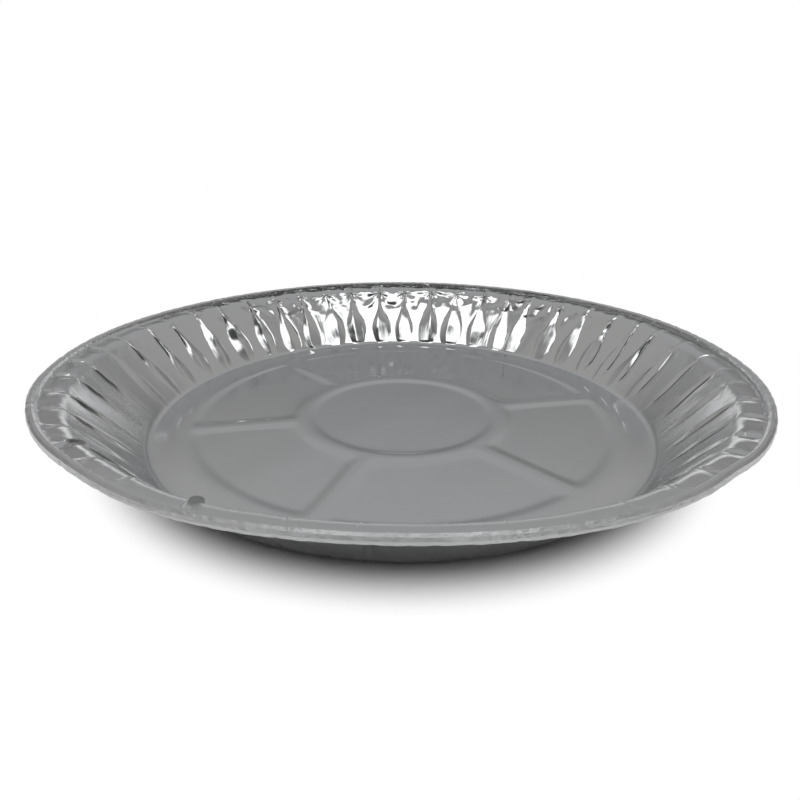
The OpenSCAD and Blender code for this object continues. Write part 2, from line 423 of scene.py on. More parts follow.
def fold_section(zone, t, own, folds):
    """One row of the folds: half width, height, shares of the gap beside them, and how far down the wall."""
    fold_h, belly, pinch = folds.height / MM, folds.belly / MM, folds.pinch / MM
    gap_top, gap_low = np.array(GAP_TOP), np.array(GAP_LOW)
    if zone == "foot":
        half = (pinch + (belly * own.wide - pinch) * (0.30 + 0.38 * t) * (1 - own.beside)) / 2
        rise = 0.42 * own.tall * fold_h * (1 - own.beside) * t
        return half, rise, gap_low, 1.0
    if zone == "wall":
        half, rise = leaf_section(t, own, folds)
        return half, rise, gap_top + wave(t * 1.6) * (gap_low - gap_top), t
    # Over the knee a fold becomes a low narrow crease, and the bead takes it in
    past_knee = t if zone == "knee" else 1.0
    half = np.full(folds.count, pinch / 2 + past_knee * 0.3 * pinch) * own.wide
    at_knee, at_flange = fold_h * 0.21, 1.1 * folds.on_flange / MM
    rise = own.tall * own.pressed * (at_knee + past_knee * (at_flange - at_knee))
    if zone == "flange":
        rise = rise * (1 - 0.6 * t)
    elif zone == "bead":
        rise = np.zeros(folds.count)
    return half, rise, gap_top, 0.0


def flank_fall(share):
    """How far a fold has fallen from its soft crest, 0 to 1, at a share of its half width."""
    return (math.hypot(share, CREST_SOFT) - CREST_SOFT) / (math.hypot(1, CREST_SOFT) - CREST_SOFT)


def crows_feet(across, below, k, side):
    """Small wrinkles that fan out from a pinch. across and below are millimetres from the pinch."""
    total = np.zeros_like(across)
    for m, (lean, rise, reach) in enumerate(CROWS_FEET):
        a = np.radians(lean + 9 * unlike(k, 11 + m + 5 * side))
        along = across * np.sin(a) + below * np.cos(a)
        off = across * np.cos(a) - below * np.sin(a)
        long = reach * (1 + 0.35 * unlike(k, 31 + m))
        lies = wave((along - 0.3) / 0.9) * wave((long - along) / (0.6 * long))
        high = rise * (1 + 0.6 * unlike(k, 41 + m + side))
        total += high * np.exp(-((off / (0.42 + 0.06 * along)) ** 2)) * lies
    return total


def sheet_relief(x, half, gap, below, along, turn, side, own, zone, even):
    """Wrinkles, pillows between the folds and slow waves of the sheet, which even out over the flange."""
    calm = 1 - 0.6 * own.beside
    wrinkles = crows_feet(np.abs(x), below, own.k, side) * (1 - even)
    if zone == "wall":
        wrinkles = wrinkles * wave((np.abs(x) - 0.4 * half) / half)
    pillow = np.sin(np.pi * np.clip((x - half) / (2 * (gap - half)), 0, 1))
    pillow = pillow * (0.07 + 0.10 * unlike(own.k if side == 0 else np.roll(own.k, 1), 14))
    soft = math.exp(-abs(below) / 6.0) * (1 - 0.7 * even) * calm
    a = np.radians(turn)
    waves = sum(size * np.sin(count * a + rate * along + start) for size, count, rate, start in SHEET_WAVES)
    return wrinkles + soft * pillow + waves * wave(along / 6.0) * (1 - even) * calm


def edge_relief(x, turn, row):
    """Ripples of the crimped edge, with a shallow mark where a fold runs into it."""
    a = np.radians(turn)
    ripple = sum(size * np.sin(count * a + start + rate * row) for size, count, start, rate in EDGE_RIPPLES)
    return ripple - 0.03 - 0.09 * np.exp(-((x / 0.8) ** 2))


def pressed_wall(sizes, folds):
    """Places of the wall, flange and bead: an array of rows by columns by (direction, radius, height)."""
    rows = wall_section(sizes)
    places = fold_places(folds)
    own = fold_habits(folds, places)
    to_next = np.roll(places, -1) - places
    to_next[-1] += 360
    to_last = np.roll(to_next, 1)
    room = np.minimum(to_next, to_last) / 2
    pinch = folds.pinch / MM
    lengths = [0.0]
    for (a, *_), (b, *_) in zip(rows, rows[1:]):
        lengths.append(lengths[-1] + float(np.linalg.norm(np.subtract(b, a))))
    wall_top = next(s for s, row in zip(lengths, rows) if row[2] == "knee")

    table = np.zeros((len(rows), folds.count, 2 * SIDE_COLUMNS, 3))
    for i, ((r, z), normal, zone, t) in enumerate(rows):
        degree = 180 / math.pi / r
        below = wall_top - lengths[i]
        on_wall = zone == "wall"
        even = {"flange": wave(t), "bead": 1.0}.get(zone, 0.0)
        half, rise, gap_shares, down = fold_section(zone, t, own, folds)
        half = np.minimum(half, 0.94 * room / degree)
        depth = own.groove * float(wave(down / 0.12) * wave((0.92 - down) / 0.15)) if on_wall else 0.0
        tuck = own.tuck * wave(down / 0.08) * wave((0.45 - down) / 0.25) if on_wall else 0.0
        drift = own.drift * wave((down - 0.3) / 0.7) if on_wall else 0.0
        crest_at = own.lean * half * wave((down - 0.1) / 0.2)
        crest_at = crest_at + 0.12 * np.sin(17 * down + 5 * unlike(own.k, 12)) * wave(down / 0.1)

        for side, sign, to_other in ((0, 1, to_next), (1, -1, to_last)):
            gap = to_other / 2 / degree
            crest = sign * crest_at
            for j in range(SIDE_COLUMNS + 1):
                if side == 1 and j in (0, SIDE_COLUMNS):
                    continue
                if j <= FLANK_TOE:
                    share = FLANK_SHARES[j]
                    x = crest + (half - crest) * share + sign * tuck * (1 - share) ** 0.6
                    h = rise * (1 - flank_fall(share))
                else:
                    x = half + (gap - half) * gap_shares[j - FLANK_TOE - 1]
                    h = np.zeros(folds.count)
                if side == 1 and j in (FLANK_TOE, FLANK_TOE + 1):
                    h = h - depth * (1.0 if j == FLANK_TOE else 0.35)
                if even > 0:
                    x = x + even * (gap * j / SIDE_COLUMNS - x)
                    h = rise * np.exp(-((x / (pinch * np.where(own.proud, 0.5, 0.8))) ** 2))
                turn = places + (sign * x + drift * (1 - j / SIDE_COLUMNS)) * degree
                if zone in ("wall", "knee", "flange"):
                    h = h + sheet_relief(x, half, gap, below, lengths[i], turn, side, own, zone, even)
                if zone in ("flange", "bead"):
                    h = h + even * (1.0 if zone == "bead" else 0.8) * edge_relief(x, turn, i)
                if zone in ("knee", "flange"):
                    # The step's long slope faces away from the viewer, and its short one towards the viewer
                    ramp = 1 - wave(x / np.where(own.forward == (side == 0), 4.4, 0.9))
                    reach = wave(t * 1.2) if zone == "knee" else 1 - 0.9 * t ** 2
                    h = h - own.step * ramp * reach
                inward = 0.0
                if zone == "flange" and t > 0.7:
                    # The corner beside the bead is filled at the left, and grooved at the back right
                    filled = bump_at(turn, 182, 38)
                    h = h + filled * (0.7 if t == 1.0 else 0.2)
                    if t == 1.0:
                        inward = 0.3 * filled
                        h = h - 0.3 * bump_at(turn, 40, 55)
                column = j if side == 0 else 2 * SIDE_COLUMNS - j
                fold = own.k if side == 0 else (own.k - 1) % folds.count
                shown = turn if side == 0 else np.where(own.k == 0, turn + 360, turn)
                place = (shown, r - inward + h * normal[0], z + h * normal[1])
                table[i, fold, column] = np.stack(place, axis=1)
    return table.reshape(len(rows), folds.count * 2 * SIDE_COLUMNS, 3), lengths


def base_turns(r):
    """Directions of a ring's columns: close together over each spoke, and even in the panels."""
    pitch = 360 / SPOKES
    reach = [math.degrees(math.asin(d / max(r, SPOKE_START_R))) for d in SPOKE_COLUMNS]
    between = (pitch - 2 * reach[-1]) / (PANEL_COLUMNS + 1)
    own = [-d for d in reach[:0:-1]] + reach
    own += [reach[-1] + between * (n + 1) for n in range(PANEL_COLUMNS)]
    return np.array([SPOKE_TURN + s * pitch + a for s in range(SPOKES) for a in own])


def pressed_base(sizes):
    """Places of the base: an array of rings by columns by (direction, radius, height)."""
    foil, rib_h = sizes.foil / MM, sizes.rib / MM
    rib_z = foil + PANEL_LIFT + rib_h
    ledge_end = LEDGE_R + CREST_HALF
    pitch = 360 / SPOKES
    table = []
    for r in BASE_RINGS:
        turns = base_turns(r)
        off = np.radians((turns - SPOKE_TURN + pitch / 2) % pitch - pitch / 2)
        nowhere_near = np.full(len(turns), 99.0)
        from_spoke = r * np.abs(np.sin(off)) if r > RING_R else nowhere_near
        ribs = (abs(r - RING_R), abs(r - LEDGE_R), from_spoke)
        nearest = -CREST_BLEND * np.log(sum(np.exp(-d / CREST_BLEND) for d in ribs))
        z = rib_z - rib_h * np.clip((nearest - CREST_HALF) / SLOPE_W, 0, 1) ** 1.35
        if r > ledge_end:
            down = float(wave((r - ledge_end) / (SLOPE_FOOT_R - ledge_end)))
            z = np.full(len(turns), rib_z - (rib_z - foil) * down)
        # The panels are a little slack
        x, y = r * np.cos(np.radians(turns)), r * np.sin(np.radians(turns))
        slack = 0.030 * np.sin(x / 9 + 1.1) * np.sin(y / 11 + 0.4) + 0.022 * np.sin(x / 5.3 - y / 6.1 + 2.0)
        z = z + slack * float(wave((SLOPE_FOOT_R - r) / 12))
        table.append(np.stack((turns, np.full(len(turns), r), z), axis=1))
    return np.array(table)


def unevenness(sizes, turn, r, z):
    """Bends of the rim, which die away towards the foot, as the solid has them."""
    share = np.power(np.maximum(0, z) / (sizes.height / MM), 1.5)
    rise = sizes.front_lift / MM * bumps(turn, RIM_LIFTS) - bumps(turn, RIM_DROOPS)
    r = r - share * sizes.dent / MM * bumps(turn, RIM_DENTS)
    a = np.radians(turn)
    return np.stack((r * np.cos(a), r * np.sin(a), z + share * rise), axis=-1) * MM


def press(flat, rings, table, sizes):
    """Pressed places of points of the flat blank, from a table of its rings by its columns."""
    flat_r = np.hypot(flat[:, 0], flat[:, 1])
    rows = np.abs(flat_r[:, None] - np.array(rings)).argmin(axis=1)
    turn = np.degrees(np.arctan2(flat[:, 1], flat[:, 0])) % 360
    # A circle's first point lies at 90 degrees, which may be half a column off
    columns = table.shape[1]
    at = np.rint(turn / 360 * columns - columns / 4 % 1).astype(int) % columns
    return unevenness(sizes, *table[rows, at].T)


def pick_seam(mesh, flat_r, seam):
    """Selects the two open edges that are to be joined, by their radii on the flat blank."""
    bpy.ops.object.mode_set(mode="EDIT")
    bpy.ops.mesh.select_mode(type="VERT")
    bpy.ops.mesh.select_all(action="DESELECT")
    bpy.ops.object.mode_set(mode="OBJECT")
    on_seam = np.abs(flat_r[:, None] - np.array(seam)).min(axis=1) < 0.01 * MM
    mesh.vertices.foreach_set("select", on_seam)
    ends = np.zeros(len(mesh.edges) * 2, np.int32)
    mesh.edges.foreach_get("vertices", ends)
    ends = ends.reshape(-1, 2)
    along = np.abs(flat_r[ends[:, 0]] - flat_r[ends[:, 1]]) < 0.01 * MM
    mesh.edges.foreach_set("select", on_seam[ends].all(axis=1) & along)


def face_corners(mesh):
    """Each face corner's point, and each face's first corner and number of corners."""
    at = np.zeros(len(mesh.loops), np.int32)
    start = np.zeros(len(mesh.polygons), np.int32)
    total = np.zeros(len(mesh.polygons), np.int32)
    mesh.loops.foreach_get("vertex_index", at)
    mesh.polygons.foreach_get("loop_start", start)
    mesh.polygons.foreach_get("loop_total", total)
    return at, start, total


def add_map(mesh, name, u, v):
    """UV map in metres, from two numbers for each face corner."""
    layer = mesh.uv_layers.new(name=name)
    layer.data.foreach_set("uv", np.stack((u, v), axis=1).astype(np.float32).ravel())


def keep_flat_places(mesh, flat):
    """Maps of the places on the flat blank: as it lay in the rolls, and unrolled round its middle."""
    at, start, total = face_corners(mesh)
    x, y = flat[at, 0], flat[at, 1]
    add_map(mesh, "blank", x, y)
    way = np.arctan2(y, x)
    first = np.repeat(way[start], total)
    way = way + 2 * math.pi * np.rint((first - way) / (2 * math.pi))
    mid_wall = (FOOT_R + 10) * MM
    add_map(mesh, "round", way * mid_wall, np.hypot(x, y))


def keep_fold_places(mesh, folds, down):
    """Map measured from the pinch of the nearest fold: across the fold, and down the wall."""
    co = read_points(mesh)
    at, start, total = face_corners(mesh)
    middle = np.add.reduceat(co[at], start, axis=0)
    places = fold_places(folds)
    way = np.degrees(np.arctan2(middle[:, 1], middle[:, 0]))
    nearest = places[np.abs(apart(way[:, None], places)).argmin(axis=1)]
    corner_way = np.degrees(np.arctan2(co[at, 1], co[at, 0]))
    off = np.radians(apart(corner_way, np.repeat(nearest, total)))
    add_map(mesh, "pinch", off * np.hypot(co[at, 0], co[at, 1]), down[at])


def foil_places(tree):
    """Sockets that say where on the tin a point is."""
    at = SimpleNamespace()
    at.place = add_node(tree, "ShaderNodeTexCoord").outputs["Object"]
    at.backward = add_node(tree, "ShaderNodeSeparateXYZ", inputs={"Vector": at.place}).outputs["Y"]
    at.blank = add_node(tree, "ShaderNodeUVMap", {"uv_map": "blank"}).outputs["UV"]
    at.round = add_node(tree, "ShaderNodeUVMap", {"uv_map": "round"}).outputs["UV"]
    at.out = add_node(tree, "ShaderNodeSeparateXYZ", inputs={"Vector": at.round}).outputs["Y"]
    at.pinch = add_node(tree, "ShaderNodeUVMap", {"uv_map": "pinch"}).outputs["UV"]
    pinch_parts = add_node(tree, "ShaderNodeSeparateXYZ", inputs={"Vector": at.pinch}).outputs
    at.across, at.down = pinch_parts["X"], pinch_parts["Y"]
    at.beyond_foot = add_node(tree, "ShaderNodeMapRange", SMOOTH, {
        "Value": at.out, "From Min": 83 * MM, "From Max": 88 * MM}).outputs["Result"]
    at.on_bead = add_node(tree, "ShaderNodeMapRange", SMOOTH, {
        "Value": at.down, "From Min": -7.5 * MM, "From Max": -6 * MM,
        "To Min": 1.0, "To Max": 0.0}).outputs["Result"]
    return at


def foil_relief(tree, at):
    """Normal of the foil, with relief too fine to model, each layer on the one before."""
    # Soft handling dents, about 6 mm across
    dents = add_node(tree, "ShaderNodeTexNoise", inputs={
        "Vector": at.place, "Scale": per_metre(5.88), "Detail": 2.0, "Roughness": 0.4})

    # Fine gathers run up the wall, 2 to 4 mm apart and about 22 mm long, where the sheet is drawn in
    gathers_at = add_node(tree, "ShaderNodeMapping", inputs={
        "Vector": at.round, "Scale": (per_metre(2.38), per_metre(22.2), 1)})
    gathers = add_node(tree, "ShaderNodeTexNoise", inputs={
        "Vector": gathers_at.outputs["Vector"], "Scale": 1.0, "Detail": 3.0, "Roughness": 0.6,
        "Distortion": 0.3})
    off_flange = add_node(tree, "ShaderNodeMapRange", SMOOTH, {
        "Value": at.out, "From Min": 109 * MM, "From Max": 113 * MM, "To Min": 1.0, "To Max": 0.2})
    on_wall = add_node(tree, "ShaderNodeMath", {"operation": "MULTIPLY"}, {
        0: at.beyond_foot, 1: off_flange.outputs["Result"]})

    # Wrinkles, two to a radian and 6 mm long, fan out from each pinch and die away 7 mm from it
    fan = add_node(tree, "ShaderNodeMath", {"operation": "ARCTAN2"}, {0: at.across, 1: at.down})
    away = add_node(tree, "ShaderNodeVectorMath", {"operation": "LENGTH"}, {"Vector": at.pinch})
    fan_at = add_node(tree, "ShaderNodeCombineXYZ", inputs={"X": fan.outputs[0], "Y": away.outputs["Value"]})
    fan_scaled = add_node(tree, "ShaderNodeMapping", inputs={
        "Vector": fan_at.outputs["Vector"], "Scale": (2.2, per_metre(5.88), 1)})
    by_place = add_node(tree, "ShaderNodeVectorMath", {"operation": "SCALE"}, {
        "Vector": at.place, "Scale": per_metre(18.2)})
    fan_moved = add_node(tree, "ShaderNodeVectorMath", {"operation": "ADD"}, {
        0: fan_scaled.outputs["Vector"], 1: by_place.outputs["Vector"]})
    wrinkles = add_node(tree, "ShaderNodeTexNoise", inputs={
        "Vector": fan_moved.outputs["Vector"], "Scale": 1.0, "Detail": 0.5, "Roughness": 0.3})
    near_pinch = add_node(tree, "ShaderNodeMapRange", SMOOTH, {
        "Value": away.outputs["Value"], "From Min": 2 * MM, "From Max": 7.5 * MM,
        "To Min": 1.0, "To Max": 0.0})
    # Folds at the back took the most foil, so the sheet is most crumpled there
    at_back = add_node(tree, "ShaderNodeMapRange", SMOOTH, {
        "Value": at.backward, "From Min": 20 * MM, "From Max": 70 * MM, "To Min": 0.12, "To Max": 1.0})
    back_wall = add_node(tree, "ShaderNodeMath", {"operation": "MULTIPLY"}, {
        0: at_back.outputs["Result"], 1: at.beyond_foot})
    in_fan = add_node(tree, "ShaderNodeMath", {"operation": "MULTIPLY"}, {
        0: near_pinch.outputs["Result"], 1: back_wall.outputs[0]})

    # Shallow hollows, 6 mm across, between the pinches at the top of the wall
    hollows = add_node(tree, "ShaderNodeTexNoise", inputs={
        "Vector": at.place, "Scale": per_metre(6.06), "Detail": 0.4, "Roughness": 0.3, "Distortion": 0.5})
    below_knee = add_node(tree, "ShaderNodeMapRange", SMOOTH, {
        "Value": at.down, "From Min": 4 * MM, "From Max": 12 * MM, "To Min": 1.0, "To Max": 0.08})
    on_upper = add_node(tree, "ShaderNodeMath", {"operation": "MULTIPLY"}, {
        0: below_knee.outputs["Result"], 1: back_wall.outputs[0]})

    # The rolled edge is crimped, so its bead is crumpled every millimetre or two
    crumple = add_node(tree, "ShaderNodeTexNoise", inputs={
        "Vector": at.place, "Scale": per_metre(1.79), "Detail": 2.0, "Roughness": 0.6})

    # Fine grain of the foil, 0.4 mm
    grain = add_node(tree, "ShaderNodeTexNoise", inputs={
        "Vector": at.place, "Scale": per_metre(0.417), "Detail": 1.0, "Roughness": 0.5})

    # Rolling lines run along the blank's X. Real ones are 0.02 mm apart, and are drawn 0.35 mm apart to show
    lines_at = add_node(tree, "ShaderNodeMapping", inputs={
        "Vector": at.blank, "Scale": (per_metre(16.7), per_metre(0.345), 1)})
    lines = add_node(tree, "ShaderNodeTexNoise", inputs={
        "Vector": lines_at.outputs["Vector"], "Scale": 1.0, "Detail": 3.0, "Roughness": 0.55})

    # Each layer: pattern, strength, and depth in millimetres
    layers = (
        (dents, 0.35, 0.06), (gathers, on_wall.outputs[0], 0.14), (wrinkles, in_fan.outputs[0], 0.5),
        (hollows, on_upper.outputs[0], 1.5), (crumple, at.on_bead, 0.22), (grain, 1.0, 0.004),
        (lines, 0.25, 0.008),
    )
    below = {}
    for pattern, strength, depth in layers:
        bump = add_node(tree, "ShaderNodeBump", inputs={
            "Height": pattern.outputs["Fac"], "Strength": strength, "Distance": depth * MM, **below})
        below = {"Normal": bump.outputs["Normal"]}
    return below["Normal"]


def foil_roughness(tree, at, finish):
    """Roughness of the foil: as rolled, then duller where it is crushed, rubbed or held."""
    cloud = add_node(tree, "ShaderNodeTexNoise", inputs={
        "Vector": at.place, "Scale": per_metre(16.7), "Detail": 3.0, "Roughness": 0.5})
    as_rolled = add_node(tree, "ShaderNodeMapRange", inputs={
        "Value": cloud.outputs["Fac"], "From Min": 0.3, "From Max": 0.7,
        "To Min": finish.roughness - 0.03, "To Max": finish.roughness + 0.04})
    # Rolling crushes the edge too finely to show, so the bead looks duller than the sheet
    crushed = add_node(tree, "ShaderNodeMath", {"operation": "MULTIPLY_ADD"}, {
        0: at.on_bead, 1: 0.14, 2: as_rolled.outputs["Result"]})
    # The front and sides of the wall and flange are rubbed by handling, and shine more softly
    ahead = add_node(tree, "ShaderNodeMapRange", SMOOTH, {
        "Value": at.backward, "From Min": 0.0, "From Max": 45 * MM, "To Min": 1.0, "To Max": 0.0})
    on_front = add_node(tree, "ShaderNodeMapRange", SMOOTH, {
        "Value": at.backward, "From Min": -100 * MM, "From Max": -70 * MM, "To Min": 1.0, "To Max": 0.0})
    under_knee = add_node(tree, "ShaderNodeMapRange", SMOOTH, {
        "Value": at.down, "From Min": -3 * MM, "From Max": 0.0, "To Min": 0.25, "To Max": 1.0})
    dull = add_node(tree, "ShaderNodeMath", {"operation": "MAXIMUM"}, {
        0: on_front.outputs["Result"], 1: under_knee.outputs["Result"]})
    handled = add_node(tree, "ShaderNodeMath", {"operation": "MULTIPLY"}, {
        0: ahead.outputs["Result"], 1: dull.outputs[0]})
    rubbed = add_node(tree, "ShaderNodeMath", {"operation": "MULTIPLY"}, {
        0: handled.outputs[0], 1: at.beyond_foot})
    worn = add_node(tree, "ShaderNodeMath", {"operation": "MULTIPLY_ADD"}, {
        0: rubbed.outputs[0], 1: 0.13, 2: crushed.outputs[0]})
    # The back of the base hasn't been touched, and mirrors the wall behind it
    untouched = add_node(tree, "ShaderNodeMapRange", SMOOTH, {
        "Value": at.backward, "From Min": 0.0, "From Max": 50 * MM, "To Min": 0.0, "To Max": 0.045})
    in_base = add_node(tree, "ShaderNodeMath", {"operation": "SUBTRACT"}, {0: 1.0, 1: at.beyond_foot})
    clearer = add_node(tree, "ShaderNodeMath", {"operation": "MULTIPLY"}, {
        0: untouched.outputs["Result"], 1: in_base.outputs[0]})
    evened = add_node(tree, "ShaderNodeMath", {"operation": "SUBTRACT"}, {
        0: worn.outputs[0], 1: clearer.outputs[0]})
    # Fingers hold the front of the rim, which is dullest
    held = add_node(tree, "ShaderNodeMath", {"operation": "MULTIPLY"}, {
        0: on_front.outputs["Result"], 1: at.beyond_foot})
    return add_node(tree, "ShaderNodeMath", {"operation": "MULTIPLY_ADD"}, {
        0: held.outputs[0], 1: 0.1, 2: evened.outputs[0]}).outputs[0]


def foil_material(finish):
    """Bright rolled aluminium foil: a near mirror, softened a little along the rolling lines.

    The mill rolls two sheets together. The face that met the polished roll is bright and carries hair-fine
    lines. Where the rolled edge is crushed, and where hands rub and hold the foil, it goes a little duller.
    """
    made = bpy.data.materials.new("rolled_aluminium_foil")
    made.use_nodes = True
    tree = made.node_tree
    tree.nodes.clear()
    at = foil_places(tree)
    shader = add_node(tree, "ShaderNodeBsdfPrincipled", inputs={
        "Base Color": linear_colour(finish.foil), "Metallic": 1.0,
        "Roughness": foil_roughness(tree, at, finish), "Normal": foil_relief(tree, at)})
    add_node(tree, "ShaderNodeOutputMaterial", inputs={"Surface": shader.outputs["BSDF"]})
    return made


def cove_material(finish):
    """Pale matt paper. It stays white out to the horizon, and keeps the tin's own shadow close to it."""
    made = bpy.data.materials.new("matt_white_paper")
    made.use_nodes = True
    tree = made.node_tree
    tree.nodes.clear()
    rays = add_node(tree, "ShaderNodeLightPath").outputs
    place = add_node(tree, "ShaderNodeTexCoord").outputs["Object"]
    far = add_node(tree, "ShaderNodeVectorMath", {"operation": "LENGTH"}, {"Vector": place}).outputs["Value"]
    past_shadow = add_node(tree, "ShaderNodeMapRange", SMOOTH, {
        "Value": far, "From Min": 0.084, "From Max": 0.102})
    far_white = add_node(tree, "ShaderNodeMapRange", SMOOTH, {
        "Value": far, "From Min": 0.16, "From Max": 0.3})
    in_view = add_node(tree, "ShaderNodeMath", {"operation": "MULTIPLY"}, {
        0: rays["Is Camera Ray"], 1: past_shadow.outputs["Result"]})
    mirrored = add_node(tree, "ShaderNodeMath", {"operation": "MAXIMUM"}, {
        0: rays["Is Glossy Ray"], 1: rays["Is Transmission Ray"]})
    in_foil = add_node(tree, "ShaderNodeMath", {"operation": "MULTIPLY"}, {
        0: mirrored.outputs[0], 1: far_white.outputs["Result"]})
    share = add_node(tree, "ShaderNodeMath", {"operation": "MAXIMUM"}, {
        0: in_view.outputs[0], 1: in_foil.outputs[0]})
    paper = add_node(tree, "ShaderNodeBsdfDiffuse", inputs={"Color": linear_colour(finish.floor)})
    white = add_node(tree, "ShaderNodeEmission", inputs={"Color": (1, 1, 1, 1), "Strength": 1.0})
    mixed = add_node(tree, "ShaderNodeMixShader", inputs={
        0: share.outputs[0], 1: paper.outputs["BSDF"], 2: white.outputs["Emission"]})
    add_node(tree, "ShaderNodeOutputMaterial", inputs={"Surface": mixed.outputs["Shader"]})
    return made


class PIETIN_OT_press_tin(bpy.types.Operator):
    """Cut a round of foil, press it into the dish with its ribs, folds and bead, and give it its thickness"""
    bl_idname = "pietin.press_tin"
    bl_label = "Press the tin"
    bl_options = {"REGISTER", "UNDO"}

    def execute(self, context):
        scene = context.scene
        sizes, folds = scene.tin_sizes, scene.fold_sizes
        wall, lengths = pressed_wall(sizes, folds)
        base = pressed_base(sizes)
        wall_rings = [(FOOT_FLAT + s) * MM for s in lengths]
        base_rings = [r * MM for r in BASE_RINGS]
        tin = add_round_blank("foil_tin", base.shape[1], base_rings, True)
        collar = add_round_blank("foil_collar", wall.shape[1], wall_rings, False)
        bpy.ops.object.select_all(action="DESELECT")
        collar.select_set(True)
        tin.select_set(True)
        context.view_layer.objects.active = tin
        bpy.ops.object.join()

        flat = read_points(tin.data)
        flat_r = np.hypot(flat[:, 0], flat[:, 1])
        seam = (base_rings[-1], wall_rings[0])
        pick_seam(tin.data, flat_r, seam)
        middle = flat_r < 0.001 * MM
        in_wall = flat_r > sum(seam) / 2
        in_base = ~in_wall & ~middle
        placed = flat.copy()
        placed[in_wall] = press(flat[in_wall], wall_rings, wall, sizes)
        placed[in_base] = press(flat[in_base], base_rings, base, sizes)
        placed[middle, 2] = sizes.foil + PANEL_LIFT * MM
        tin.data.vertices.foreach_set("co", placed.ravel())
        tin.data.update()

        # The collar is joined to the base once both are pressed, so that near points meet
        bpy.ops.object.mode_set(mode="EDIT")
        bpy.ops.mesh.select_mode(type="EDGE")
        bpy.ops.mesh.fill(use_beauty=True)
        bpy.ops.object.mode_set(mode="OBJECT")
        keep_flat_places(tin.data, flat)
        knee_r = next(r for r, row in zip(wall_rings, wall_section(sizes)) if row[2] == "knee")
        keep_fold_places(tin.data, folds, knee_r - flat_r)

        bpy.ops.object.mode_set(mode="EDIT")
        bpy.ops.mesh.select_mode(type="VERT")
        bpy.ops.mesh.select_all(action="SELECT")
        bpy.ops.mesh.remove_doubles(threshold=0.0001 * MM)
        bpy.ops.mesh.normals_make_consistent(inside=False)
        bpy.ops.object.mode_set(mode="OBJECT")
        middle_face = min(tin.data.polygons, key=lambda face: face.center.xy.length)
        if middle_face.normal.z < 0:
            bpy.ops.object.mode_set(mode="EDIT")
            bpy.ops.mesh.flip_normals()
            bpy.ops.object.mode_set(mode="OBJECT")
        thick = tin.modifiers.new("foil", "SOLIDIFY")
        thick.thickness = sizes.foil
        thick.offset = -1
        thick.use_quality_normals = True
        bpy.ops.object.modifier_apply(modifier=thick.name)
        bpy.ops.object.shade_smooth_by_angle(angle=math.radians(30))
        tin.data.materials.clear()
        tin.data.materials.append(foil_material(scene.foil_finish))
        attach(tin, "root")
        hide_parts(NODE)
        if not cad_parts[NODE].hide_render:
            raise RuntimeError("the tin didn't replace its solid")
        return {"FINISHED"}


def add_cove(finish):
    """Round floor, just under the tin, that curves up into a backdrop behind it."""
    bpy.ops.object.select_all(action="DESELECT")
    bpy.ops.mesh.primitive_circle_add(
        vertices=144, radius=FLOOR_R, fill_type="NGON", location=(0, 0, -FLOOR_GAP))
    cove = bpy.context.object
    cove.name = "floor_cove"
    bpy.ops.object.transform_apply(location=True, rotation=False, scale=False)
    bpy.ops.object.mode_set(mode="EDIT")
    bpy.ops.mesh.select_mode(type="EDGE")
    bpy.ops.mesh.select_all(action="DESELECT")
    bpy.ops.mesh.select_non_manifold()
    r, z = FLOOR_R, 0.0
    for i in range(1, COVE_STEPS + 1):
        a = math.pi / 2 * i / COVE_STEPS
        next_r, next_z = FLOOR_R + COVE_BEND * math.sin(a), COVE_BEND * (1 - math.cos(a))
        bpy.ops.mesh.extrude_edges_indiv()
        bpy.ops.transform.resize(value=(next_r / r, next_r / r, 1), center_override=(0, 0, 0))
        bpy.ops.transform.translate(value=(0, 0, next_z - z))
        r, z = next_r, next_z
    bpy.ops.mesh.extrude_edges_indiv()
    bpy.ops.transform.translate(value=(0, 0, COVE_TOP - z))
    bpy.ops.object.mode_set(mode="OBJECT")
    for face in cove.data.polygons:
        away = abs(math.atan2(face.center.x, face.center.y))
        face.select = face.center.z > MM and away > COVE_HALF_ARC
    bpy.ops.object.mode_set(mode="EDIT")
    bpy.ops.mesh.select_mode(type="FACE")
    bpy.ops.mesh.delete(type="FACE")
    bpy.ops.mesh.select_all(action="SELECT")
    bpy.ops.mesh.normals_make_consistent(inside=True)
    bpy.ops.object.mode_set(mode="OBJECT")
    bpy.ops.object.shade_smooth_by_angle(angle=math.radians(30))
    cove.data.materials.append(cove_material(finish))


